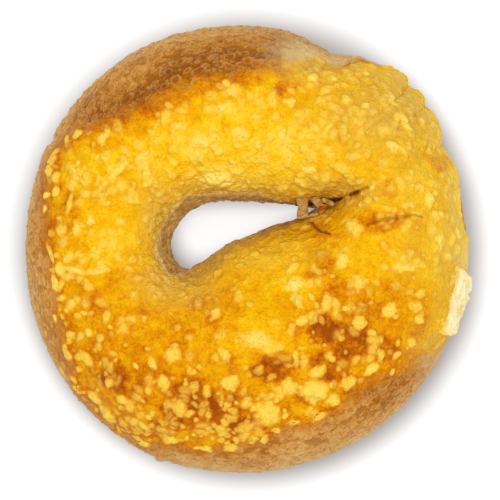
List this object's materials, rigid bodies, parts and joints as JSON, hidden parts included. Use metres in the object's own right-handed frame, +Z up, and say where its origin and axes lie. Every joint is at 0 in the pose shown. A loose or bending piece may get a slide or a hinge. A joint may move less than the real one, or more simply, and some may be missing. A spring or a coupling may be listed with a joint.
{
  "type": "bagel",
  "caption": "Large whole ring bagel with a narrow off-centre hole, a creased dough joint and browned grated cheese baked over its top.",
  "frame": {"origin": "middle of the footprint, on the surface that the flat base rests on", "axes": "+Z up out of the base; the ring lies in the XY plane, with its dough joint and the hole's narrow end towards +X"},
  "size_m": [0.1107, 0.1108, 0.0386],
  "materials": {
    "baked_crust": null
  },
  "bodies": {
    "root": {"bagel": "baked_crust"}
  },
  "joints": []
}
